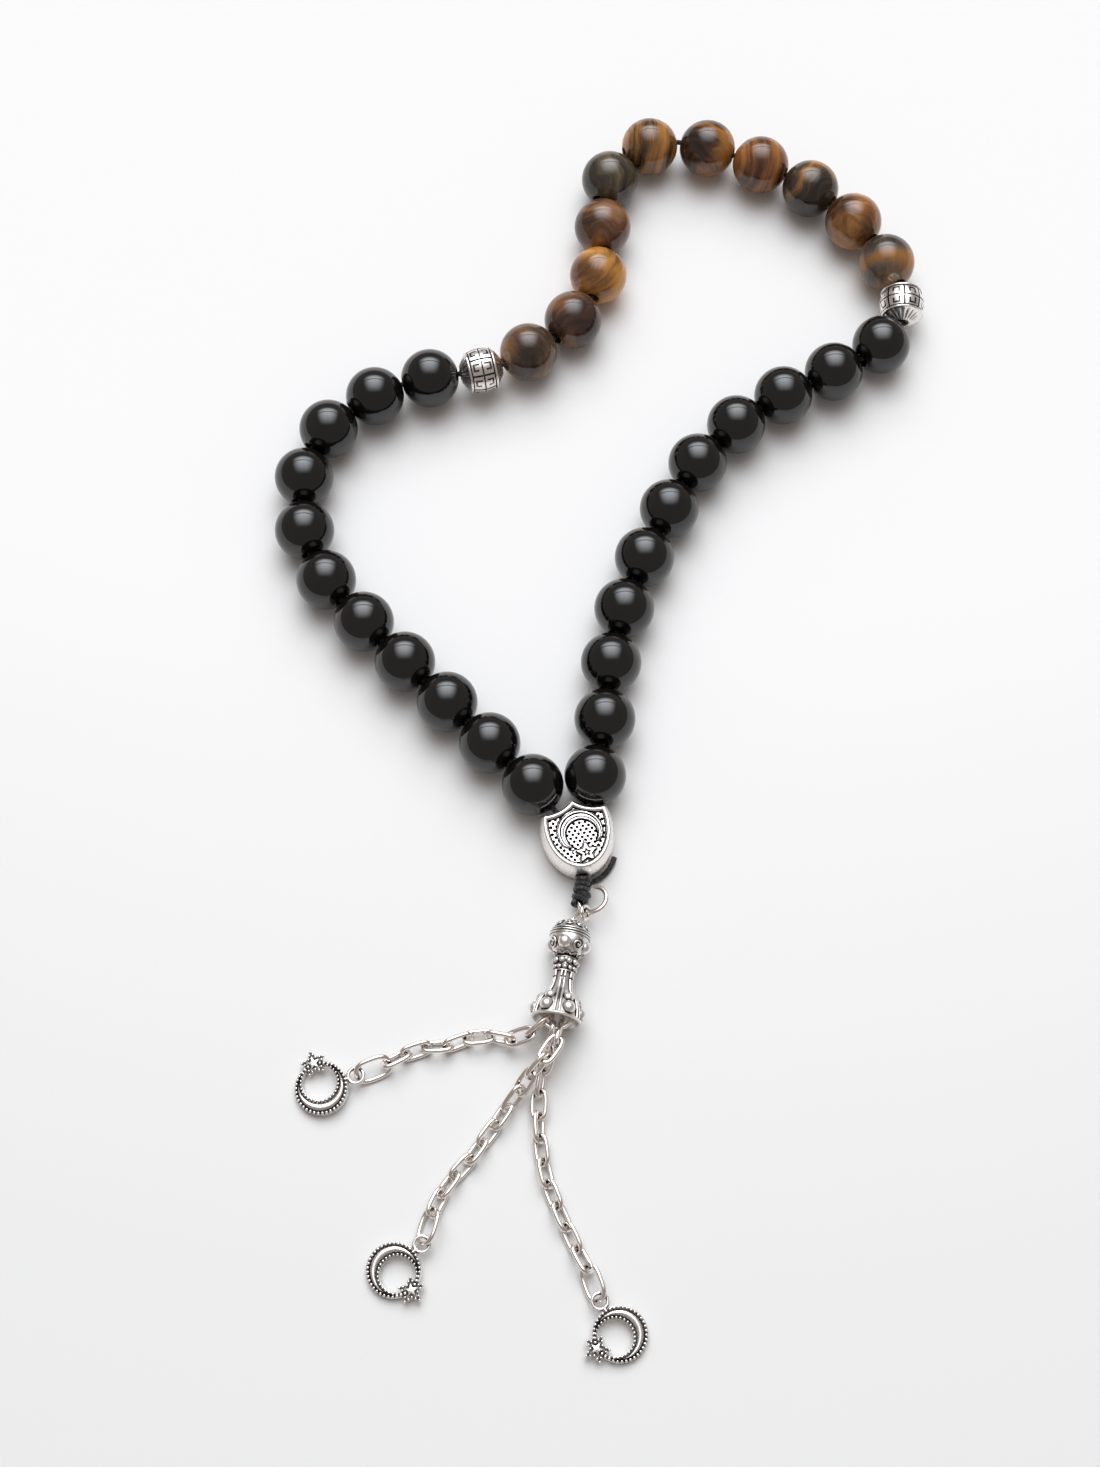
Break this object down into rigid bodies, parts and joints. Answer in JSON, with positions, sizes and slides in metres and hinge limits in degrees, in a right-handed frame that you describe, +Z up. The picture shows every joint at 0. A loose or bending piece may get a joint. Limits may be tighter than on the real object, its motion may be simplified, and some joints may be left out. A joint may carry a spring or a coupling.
{
  "type": "misbaha prayer beads",
  "caption": "Loop of round stone beads on one cord with metal dividers, a shield-shaped imam piece and a metal tassel of three chains with crescent and star charms.",
  "frame": {"origin": "on the table, under the middle of the whole piece as it lies", "axes": "+Z up from the table, +Y from the tassel towards the loop of beads"},
  "size_m": [0.1122, 0.2182, 0.01],
  "materials": {
    "onyx": "polished black stone",
    "tigereye": "polished banded brown stone",
    "silver": "antiqued silver-coloured cast metal and wire",
    "cord": "black waxed cord"
  },
  "bodies": {
    "strand": {"strand_cord": "cord", "imam_shield": "silver", "cord_tail": "cord"},
    "knot": {"cord_knot": "cord", "jump_ring": "silver"},
    "pin": {"eye_pin": "silver"},
    "cap": {"tassel_cap": "silver"},
    "onyx_bead_01": {"onyx_bead_01": "onyx"},
    "onyx_bead_02": {"onyx_bead_02": "onyx"},
    "onyx_bead_03": {"onyx_bead_03": "onyx"},
    "onyx_bead_04": {"onyx_bead_04": "onyx"},
    "onyx_bead_05": {"onyx_bead_05": "onyx"},
    "onyx_bead_06": {"onyx_bead_06": "onyx"},
    "onyx_bead_07": {"onyx_bead_07": "onyx"},
    "onyx_bead_08": {"onyx_bead_08": "onyx"},
    "onyx_bead_09": {"onyx_bead_09": "onyx"},
    "onyx_bead_10": {"onyx_bead_10": "onyx"},
    "onyx_bead_11": {"onyx_bead_11": "onyx"},
    "divider_1": {"divider_1": "silver"},
    "tigereye_bead_01": {"tigereye_bead_01": "tigereye"},
    "tigereye_bead_02": {"tigereye_bead_02": "tigereye"},
    "tigereye_bead_03": {"tigereye_bead_03": "tigereye"},
    "tigereye_bead_04": {"tigereye_bead_04": "tigereye"},
    "tigereye_bead_05": {"tigereye_bead_05": "tigereye"},
    "tigereye_bead_06": {"tigereye_bead_06": "tigereye"},
    "tigereye_bead_07": {"tigereye_bead_07": "tigereye"},
    "tigereye_bead_08": {"tigereye_bead_08": "tigereye"},
    "tigereye_bead_09": {"tigereye_bead_09": "tigereye"},
    "tigereye_bead_10": {"tigereye_bead_10": "tigereye"},
    "tigereye_bead_11": {"tigereye_bead_11": "tigereye"},
    "divider_2": {"divider_2": "silver"},
    "onyx_bead_12": {"onyx_bead_12": "onyx"},
    "onyx_bead_13": {"onyx_bead_13": "onyx"},
    "onyx_bead_14": {"onyx_bead_14": "onyx"},
    "onyx_bead_15": {"onyx_bead_15": "onyx"},
    "onyx_bead_16": {"onyx_bead_16": "onyx"},
    "onyx_bead_17": {"onyx_bead_17": "onyx"},
    "onyx_bead_18": {"onyx_bead_18": "onyx"},
    "onyx_bead_19": {"onyx_bead_19": "onyx"},
    "onyx_bead_20": {"onyx_bead_20": "onyx"},
    "onyx_bead_21": {"onyx_bead_21": "onyx"},
    "onyx_bead_22": {"onyx_bead_22": "onyx"},
    "left_chain_1": {"left_chain_1": "silver"},
    "left_chain_2": {"left_chain_2": "silver"},
    "left_chain_3": {"left_chain_3": "silver"},
    "left_chain_4": {"left_chain_4": "silver"},
    "left_end_ring": {"left_end_ring": "silver"},
    "left_charm": {"left_charm": "silver"},
    "middle_chain_1": {"middle_chain_1": "silver"},
    "middle_chain_2": {"middle_chain_2": "silver"},
    "middle_chain_3": {"middle_chain_3": "silver"},
    "middle_chain_4": {"middle_chain_4": "silver"},
    "middle_end_ring": {"middle_end_ring": "silver"},
    "middle_charm": {"middle_charm": "silver"},
    "right_chain_1": {"right_chain_1": "silver"},
    "right_chain_2": {"right_chain_2": "silver"},
    "right_chain_3": {"right_chain_3": "silver"},
    "right_chain_4": {"right_chain_4": "silver"},
    "right_end_ring": {"right_end_ring": "silver"},
    "right_charm": {"right_charm": "silver"}
  },
  "joints": [
    {"name": "onyx_bead_01_spin", "type": "hinge", "parent": "strand", "child": "onyx_bead_01", "pos_m": [-0.01209, -0.01854, 0.005], "axis": [-0.6852, 0.7198, 0.1114], "continuous": true},
    {"name": "onyx_bead_02_spin", "type": "hinge", "parent": "strand", "child": "onyx_bead_02", "pos_m": [-0.01907, -0.01131, 0.005], "axis": [-0.6976, 0.7165, -0.0048], "continuous": true},
    {"name": "onyx_bead_03_spin", "type": "hinge", "parent": "strand", "child": "onyx_bead_03", "pos_m": [-0.02609, -0.00412, 0.005], "axis": [-0.6998, 0.7143, -0.006], "continuous": true},
    {"name": "onyx_bead_04_spin", "type": "hinge", "parent": "strand", "child": "onyx_bead_04", "pos_m": [-0.03313, 0.00305, 0.005], "axis": [-0.7004, 0.7137, -0.0002], "continuous": true},
    {"name": "onyx_bead_05_spin", "type": "hinge", "parent": "strand", "child": "onyx_bead_05", "pos_m": [-0.0401, 0.01029, 0.005], "axis": [-0.6836, 0.7298, 0], "continuous": true},
    {"name": "onyx_bead_06_spin", "type": "hinge", "parent": "strand", "child": "onyx_bead_06", "pos_m": [-0.0466, 0.01796, 0.005], "axis": [-0.5699, 0.8217, 0], "continuous": true},
    {"name": "onyx_bead_07_spin", "type": "hinge", "parent": "strand", "child": "onyx_bead_07", "pos_m": [-0.05054, 0.0272, 0.005], "axis": [-0.2136, 0.9769, 0], "continuous": true},
    {"name": "onyx_bead_08_spin", "type": "hinge", "parent": "strand", "child": "onyx_bead_08", "pos_m": [-0.05099, 0.03724, 0.005], "axis": [0.1333, 0.9911, 0], "continuous": true},
    {"name": "onyx_bead_09_spin", "type": "hinge", "parent": "strand", "child": "onyx_bead_09", "pos_m": [-0.04718, 0.04655, 0.005], "axis": [0.6226, 0.7826, 0], "continuous": true},
    {"name": "onyx_bead_10_spin", "type": "hinge", "parent": "strand", "child": "onyx_bead_10", "pos_m": [-0.03942, 0.05293, 0.005], "axis": [0.8742, 0.4855, 0], "continuous": true},
    {"name": "onyx_bead_11_spin", "type": "hinge", "parent": "strand", "child": "onyx_bead_11", "pos_m": [-0.03002, 0.05649, 0.005], "axis": [0.9775, 0.2109, 0], "continuous": true},
    {"name": "divider_1_spin", "type": "hinge", "parent": "strand", "child": "divider_1", "pos_m": [-0.02121, 0.05806, 0.005], "axis": [0.9711, 0.2385, 0], "continuous": true},
    {"name": "tigereye_bead_01_spin", "type": "hinge", "parent": "strand", "child": "tigereye_bead_01", "pos_m": [-0.01302, 0.06167, 0.005], "axis": [0.8568, 0.5156, 0], "continuous": true},
    {"name": "tigereye_bead_02_spin", "type": "hinge", "parent": "strand", "child": "tigereye_bead_02", "pos_m": [-0.00528, 0.06816, 0.005], "axis": [0.6388, 0.7693, 0], "continuous": true},
    {"name": "tigereye_bead_03_spin", "type": "hinge", "parent": "strand", "child": "tigereye_bead_03", "pos_m": [-0.00081, 0.07721, 0.005], "axis": [0.2439, 0.9698, 0], "continuous": true},
    {"name": "tigereye_bead_04_spin", "type": "hinge", "parent": "strand", "child": "tigereye_bead_04", "pos_m": [0.00004, 0.08728, 0.005], "axis": [-0.0423, 0.9991, 0], "continuous": true},
    {"name": "tigereye_bead_05_spin", "type": "hinge", "parent": "strand", "child": "tigereye_bead_05", "pos_m": [0.0014, 0.09728, 0.005], "axis": [0.3881, 0.9216, 0], "continuous": true},
    {"name": "tigereye_bead_06_spin", "type": "hinge", "parent": "strand", "child": "tigereye_bead_06", "pos_m": [0.00863, 0.10433, 0.005], "axis": [0.9421, 0.3353, 0], "continuous": true},
    {"name": "tigereye_bead_07_spin", "type": "hinge", "parent": "strand", "child": "tigereye_bead_07", "pos_m": [0.01903, 0.10394, 0.005], "axis": [0.9586, -0.2848, 0], "continuous": true},
    {"name": "tigereye_bead_08_spin", "type": "hinge", "parent": "strand", "child": "tigereye_bead_08", "pos_m": [0.02849, 0.10043, 0.005], "axis": [0.9109, -0.4126, 0], "continuous": true},
    {"name": "tigereye_bead_09_spin", "type": "hinge", "parent": "strand", "child": "tigereye_bead_09", "pos_m": [0.03722, 0.09534, 0.005], "axis": [0.8032, -0.5957, 0], "continuous": true},
    {"name": "tigereye_bead_10_spin", "type": "hinge", "parent": "strand", "child": "tigereye_bead_10", "pos_m": [0.04455, 0.08839, 0.005], "axis": [0.6337, -0.7736, 0], "continuous": true},
    {"name": "tigereye_bead_11_spin", "type": "hinge", "parent": "strand", "child": "tigereye_bead_11", "pos_m": [0.04994, 0.07985, 0.005], "axis": [0.4174, -0.9087, 0], "continuous": true},
    {"name": "divider_2_spin", "type": "hinge", "parent": "strand", "child": "divider_2", "pos_m": [0.05221, 0.07119, 0.005], "axis": [-0.0295, -0.9996, 0], "continuous": true},
    {"name": "onyx_bead_12_spin", "type": "hinge", "parent": "strand", "child": "onyx_bead_12", "pos_m": [0.04821, 0.06319, 0.005], "axis": [-0.7343, -0.6788, 0], "continuous": true},
    {"name": "onyx_bead_13_spin", "type": "hinge", "parent": "strand", "child": "onyx_bead_13", "pos_m": [0.03973, 0.0578, 0.005], "axis": [-0.8848, -0.466, 0], "continuous": true},
    {"name": "onyx_bead_14_spin", "type": "hinge", "parent": "strand", "child": "onyx_bead_14", "pos_m": [0.03084, 0.0531, 0.005], "axis": [-0.8726, -0.4884, 0], "continuous": true},
    {"name": "onyx_bead_15_spin", "type": "hinge", "parent": "strand", "child": "onyx_bead_15", "pos_m": [0.02257, 0.04739, 0.005], "axis": [-0.7625, -0.647, 0], "continuous": true},
    {"name": "onyx_bead_16_spin", "type": "hinge", "parent": "strand", "child": "onyx_bead_16", "pos_m": [0.0158, 0.03997, 0.005], "axis": [-0.5632, -0.8263, 0], "continuous": true},
    {"name": "onyx_bead_17_spin", "type": "hinge", "parent": "strand", "child": "onyx_bead_17", "pos_m": [0.01081, 0.03124, 0.005], "axis": [-0.453, -0.8915, 0], "continuous": true},
    {"name": "onyx_bead_18_spin", "type": "hinge", "parent": "strand", "child": "onyx_bead_18", "pos_m": [0.00651, 0.02216, 0.005], "axis": [-0.3988, -0.917, 0], "continuous": true},
    {"name": "onyx_bead_19_spin", "type": "hinge", "parent": "strand", "child": "onyx_bead_19", "pos_m": [0.00302, 0.01273, 0.005], "axis": [-0.2933, -0.956, 0], "continuous": true},
    {"name": "onyx_bead_20_spin", "type": "hinge", "parent": "strand", "child": "onyx_bead_20", "pos_m": [0.00074, 0.00295, 0.005], "axis": [-0.1488, -0.9889, 0], "continuous": true},
    {"name": "onyx_bead_21_spin", "type": "hinge", "parent": "strand", "child": "onyx_bead_21", "pos_m": [-0.00037, -0.00704, 0.005], "axis": [-0.1085, -0.994, 0.0123], "continuous": true},
    {"name": "onyx_bead_22_spin", "type": "hinge", "parent": "strand", "child": "onyx_bead_22", "pos_m": [-0.00201, -0.01696, 0.005], "axis": [-0.2114, -0.9689, -0.1283], "continuous": true},
    {"name": "knot_swing", "type": "hinge", "parent": "strand", "child": "knot", "pos_m": [-0.00371, -0.0327, 0.00275], "axis": [0, 0, 1], "range_deg": [-6, 6]},
    {"name": "pin_lift", "type": "hinge", "parent": "knot", "child": "pin", "pos_m": [-0.00368, -0.03937, 0.0033], "axis": [-0.7769, 0.4668, -0.4226], "range_deg": [0, 45]},
    {"name": "cap_spin", "type": "hinge", "parent": "pin", "child": "cap", "pos_m": [-0.00565, -0.04075, 0.00336], "axis": [-0.1632, -0.9856, 0.0454], "continuous": true},
    {"name": "left_chain_1_swing", "type": "hinge", "parent": "pin", "child": "left_chain_1", "pos_m": [-0.00986, -0.05717, 0.00413], "axis": [0, 0, 1], "range_deg": [-6, 6]},
    {"name": "left_chain_2_swing", "type": "hinge", "parent": "left_chain_1", "child": "left_chain_2", "pos_m": [-0.01553, -0.05988, 0.0022], "axis": [0, 0, 1], "range_deg": [-7, 10]},
    {"name": "left_chain_3_swing", "type": "hinge", "parent": "left_chain_2", "child": "left_chain_3", "pos_m": [-0.02209, -0.05949, 0.00145], "axis": [0, 0, 1], "range_deg": [-12, 12]},
    {"name": "left_chain_4_swing", "type": "hinge", "parent": "left_chain_3", "child": "left_chain_4", "pos_m": [-0.02856, -0.06086, 0.00125], "axis": [0, 0, 1], "range_deg": [-12, 12]},
    {"name": "left_end_ring_swing", "type": "hinge", "parent": "left_chain_4", "child": "left_end_ring", "pos_m": [-0.03459, -0.06361, 0.00176], "axis": [0, 0, 1], "range_deg": [-12, 12]},
    {"name": "left_charm_swing", "type": "hinge", "parent": "left_end_ring", "child": "left_charm", "pos_m": [-0.03918, -0.06547, 0.00176], "axis": [0, 0, 1], "range_deg": [-15, 15]},
    {"name": "middle_chain_1_swing", "type": "hinge", "parent": "pin", "child": "middle_chain_1", "pos_m": [-0.00757, -0.05798, 0.00415], "axis": [0, 0, 1], "range_deg": [-6, 1]},
    {"name": "middle_chain_2_swing", "type": "hinge", "parent": "middle_chain_1", "child": "middle_chain_2", "pos_m": [-0.01225, -0.06598, 0.0046], "axis": [0, 0, 1], "range_deg": [-10, 10]},
    {"name": "middle_chain_3_swing", "type": "hinge", "parent": "middle_chain_2", "child": "middle_chain_3", "pos_m": [-0.01588, -0.07041, 0.0015], "axis": [0, 0, 1], "range_deg": [-12, 12]},
    {"name": "middle_chain_4_swing", "type": "hinge", "parent": "middle_chain_3", "child": "middle_chain_4", "pos_m": [-0.02161, -0.07848, 0.00125], "axis": [0, 0, 1], "range_deg": [-12, 12]},
    {"name": "middle_end_ring_swing", "type": "hinge", "parent": "middle_chain_4", "child": "middle_end_ring", "pos_m": [-0.02713, -0.08656, 0.00176], "axis": [0, 0, 1], "range_deg": [-12, 12]},
    {"name": "middle_charm_swing", "type": "hinge", "parent": "middle_end_ring", "child": "middle_charm", "pos_m": [-0.0285, -0.09131, 0.00176], "axis": [0, 0, 1], "range_deg": [-15, 15]},
    {"name": "right_chain_1_swing", "type": "hinge", "parent": "pin", "child": "right_chain_1", "pos_m": [-0.0088, -0.05813, 0.00416], "axis": [0, 0, 1], "range_deg": [-1, 6]},
    {"name": "right_chain_2_swing", "type": "hinge", "parent": "right_chain_1", "child": "right_chain_2", "pos_m": [-0.01098, -0.06817, 0.0016], "axis": [0, 0, 1], "range_deg": [-10, 10]},
    {"name": "right_chain_3_swing", "type": "hinge", "parent": "right_chain_2", "child": "right_chain_3", "pos_m": [-0.01037, -0.07878, 0.00125], "axis": [0, 0, 1], "range_deg": [-12, 12]},
    {"name": "right_chain_4_swing", "type": "hinge", "parent": "right_chain_3", "child": "right_chain_4", "pos_m": [-0.00824, -0.08553, 0.00125], "axis": [0, 0, 1], "range_deg": [-12, 12]},
    {"name": "right_end_ring_swing", "type": "hinge", "parent": "right_chain_4", "child": "right_end_ring", "pos_m": [-0.00364, -0.09509, 0.00176], "axis": [0, 0, 1], "range_deg": [-12, 12]},
    {"name": "right_charm_swing", "type": "hinge", "parent": "right_end_ring", "child": "right_charm", "pos_m": [-0.00195, -0.09974, 0.00176], "axis": [0, 0, 1], "range_deg": [-15, 15]}
  ]
}
